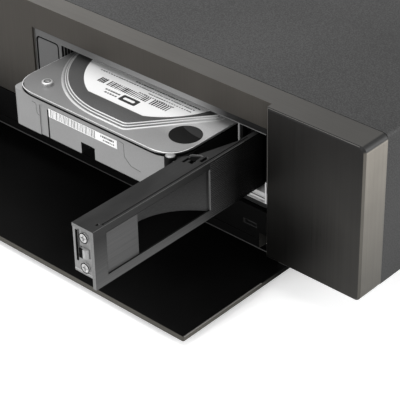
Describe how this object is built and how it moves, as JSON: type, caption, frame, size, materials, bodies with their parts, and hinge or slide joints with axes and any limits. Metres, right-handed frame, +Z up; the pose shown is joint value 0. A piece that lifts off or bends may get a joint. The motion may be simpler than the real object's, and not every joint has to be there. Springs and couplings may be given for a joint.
{
  "type": "media player with hard drive tray",
  "caption": "Full-width media player with a flip-down front, a swing-out rack lever and a desktop hard drive drawn out of its bay.",
  "frame": {"origin": "middle of the whole outline seen from above, swung-out lever and rear jacks included, at the table surface under the feet; the face of the end blocks is at Y = -0.1005", "axes": "+X to the right as seen from the front, +Y towards the rear panel, +Z up"},
  "size_m": [0.4324, 0.391, 0.0955],
  "materials": {
    "frame_black": "dark anodised, fine brushed",
    "gloss_black": "gloss black",
    "bare_steel": "bare steel",
    "smoked_glass": "smoked",
    "bright_ring": "bright",
    "black_plastic": "moulded black",
    "zinc_steel": "zinc plated",
    "cover_paint": "fine textured dark grey",
    "black_steel": "black oxide",
    "rear_paint": "dark grey",
    "nickel": "nickel",
    "foot_plastic": "moulded",
    "pad_rubber": "soft rubber",
    "bezel_plastic": "grey, fine texture",
    "rail_plastic": "moulded",
    "board_green": "board",
    "lever_plastic": "satin dark grey",
    "scoop_black": "gloss black",
    "brushed_plate": "brushed dark",
    "latch_grey": "grey",
    "bright_screw": "bright",
    "drive_cast": "die cast",
    "drive_lid": "blasted plate",
    "label_paper": "printed label",
    "seal_black": "foil seal",
    "brass_post": "turned"
  },
  "bodies": {
    "chassis": {"front_frame": "frame_black", "lower_panel": "gloss_black", "service_port": "bare_steel", "display_window": "smoked_glass", "power_ring": "bright_ring", "power_switch": "black_plastic", "hinge_ears": "zinc_steel", "hinge_pins": "bare_steel", "chassis": "zinc_steel", "top_cover": "cover_paint", "cover_screws": "black_steel", "rear_panel": "rear_paint", "power_inlet": "black_plastic", "lan_socket": "bare_steel", "usb_sockets": "bare_steel", "video_socket": "bare_steel", "optical_socket": "black_plastic", "audio_block": "black_plastic", "audio_jacks": "nickel", "feet": "foot_plastic", "foot_pads": "pad_rubber", "rack_bezel": "bezel_plastic", "rack_cage": "zinc_steel", "drive_rails": "rail_plastic", "backplane": "board_green", "drive_plug": "black_plastic", "lever_pin": "bare_steel", "main_board": "board_green", "board_posts": "brass_post"},
    "flip_door": {"door_plate": "gloss_black", "door_legs": "zinc_steel"},
    "lever": {"lever_body": "lever_plastic", "scoop_floor": "scoop_black", "lever_plate": "brushed_plate", "latch_plate": "latch_grey", "latch_catch": "lever_plastic", "latch_screws": "bright_screw"},
    "drive": {"drive_base": "drive_cast", "drive_gasket": "pad_rubber", "drive_cover": "drive_lid", "drive_label": "label_paper", "drive_seal": "seal_black", "code_label": "label_paper", "drive_screws": "bright_screw", "drive_board": "board_green", "drive_contacts": "black_plastic"},
    "eject_key": {"eject_key": "bezel_plastic"},
    "power_key": {"power_key": "frame_black"}
  },
  "joints": [
    {"name": "door_hinge", "type": "hinge", "parent": "chassis", "child": "flip_door", "pos_m": [0, -0.0811, 0.022], "axis": [-1, 0, 0], "range_deg": [0, 30]},
    {"name": "lever_hinge", "type": "hinge", "parent": "chassis", "child": "lever", "pos_m": [0.1455, -0.0867, 0.0491], "axis": [0, 0, -1], "range_deg": [-12, 2.5]},
    {"name": "drive_slide", "type": "slide", "parent": "chassis", "child": "drive", "axis": [0, 1, 0], "range_m": [-0.06, 0.0465]},
    {"name": "eject_press", "type": "slide", "parent": "chassis", "child": "eject_key", "axis": [0, 1, 0], "range_m": [0, 0.0015], "stiffness_N_per_m": 600},
    {"name": "power_press", "type": "slide", "parent": "chassis", "child": "power_key", "axis": [0, 1, 0], "range_m": [0, 0.0015], "stiffness_N_per_m": 600}
  ]
}
